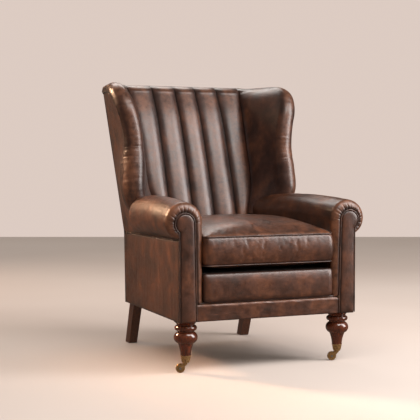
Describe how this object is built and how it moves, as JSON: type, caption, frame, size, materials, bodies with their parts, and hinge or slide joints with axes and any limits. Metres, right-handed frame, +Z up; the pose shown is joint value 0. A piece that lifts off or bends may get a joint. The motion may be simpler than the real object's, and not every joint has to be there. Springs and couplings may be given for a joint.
{
  "type": "leather wing chair",
  "caption": "Upholstered leather wing chair with a fluted inside back, rolled arms, a loose boxed seat cushion, turned front legs on swivel castors and raked rear legs",
  "frame": {"origin": "on the floor, under the middle of the chair's box", "axes": "+Z up, the chair faces -Y, +X is on the viewer's right when the chair is seen from the front"},
  "size_m": [0.7984, 0.8712, 1.062],
  "materials": {
    "leather": "antiqued brown leather, mottled with darker edges, semi-gloss",
    "welt_leather": "dark brown leather piping, semi-gloss",
    "turned_wood": "polished dark mahogany stain",
    "rear_leg_wood": "dark brown stain, satin",
    "beech_frame": "sawn beech, unfinished",
    "aged_brass": "aged brass, satin",
    "axle_steel": "plain steel",
    "brass_screws": "aged brass",
    "spring_steel": "oiled spring wire",
    "webbing": "woven jute webbing",
    "deck_padding": "dark cloth over felt padding",
    "cushion_foam": "cut foam",
    "dust_cover_cloth": "black woven dust cover"
  },
  "bodies": {
    "root": {"inside_back": "leather", "outside_back": "leather", "seat_border": "leather", "plinth_band": "leather", "arm_pad_left": "leather", "arm_pad_right": "leather", "outside_arm_left": "leather", "outside_arm_right": "leather", "arm_facing_left": "leather", "arm_facing_right": "leather", "wing_pad_left": "leather", "wing_pad_right": "leather", "outside_wing_left": "leather", "outside_wing_right": "leather", "facing_welt_left": "welt_leather", "facing_welt_right": "welt_leather", "arm_welts": "welt_leather", "plinth_welt": "welt_leather", "front_leg_left": "turned_wood", "front_leg_right": "turned_wood", "rear_leg_left": "rear_leg_wood", "rear_leg_right": "rear_leg_wood", "front_rail": "beech_frame", "back_rail": "beech_frame", "lower_back_rail": "beech_frame", "crest_rail": "beech_frame", "corner_blocks": "beech_frame", "side_rail_left": "beech_frame", "side_rail_right": "beech_frame", "front_post_left": "beech_frame", "front_post_right": "beech_frame", "back_post_left": "beech_frame", "back_post_right": "beech_frame", "arm_board_left": "beech_frame", "arm_board_right": "beech_frame", "wing_board_left": "beech_frame", "wing_board_right": "beech_frame", "castor_cup_left": "aged_brass", "castor_cup_right": "aged_brass", "leg_bolts": "axle_steel", "cup_screws": "brass_screws", "seat_springs": "spring_steel", "spring_clips": "spring_steel", "back_webbing": "webbing", "seat_deck": "deck_padding", "dust_cover": "dust_cover_cloth"},
    "cushion": {"seat_cushion": "leather", "cushion_core": "cushion_foam"},
    "castor_swivel_left": {"castor_horn_left": "aged_brass", "castor_axle_left": "axle_steel"},
    "castor_swivel_right": {"castor_horn_right": "aged_brass", "castor_axle_right": "axle_steel"},
    "castor_roller_left": {"castor_wheel_left": "aged_brass"},
    "castor_roller_right": {"castor_wheel_right": "aged_brass"}
  },
  "joints": [
    {"name": "seat_cushion_lift", "type": "slide", "parent": "root", "child": "cushion", "axis": [0, 0, 1], "range_m": [0, 0.25]},
    {"name": "castor_swivel_joint_left", "type": "hinge", "parent": "root", "child": "castor_swivel_left", "pos_m": [-0.308, -0.367, 0.06], "axis": [0, 0, 1], "continuous": true},
    {"name": "castor_wheel_spin_left", "type": "hinge", "parent": "castor_swivel_left", "child": "castor_roller_left", "pos_m": [-0.32536, -0.35927, 0.017], "axis": [-0.4067, -0.9135, 0], "continuous": true},
    {"name": "castor_swivel_joint_right", "type": "hinge", "parent": "root", "child": "castor_swivel_right", "pos_m": [0.308, -0.367, 0.06], "axis": [0, 0, 1], "continuous": true},
    {"name": "castor_wheel_spin_right", "type": "hinge", "parent": "castor_swivel_right", "child": "castor_roller_right", "pos_m": [0.29064, -0.35927, 0.017], "axis": [-0.4067, -0.9135, 0], "continuous": true}
  ]
}
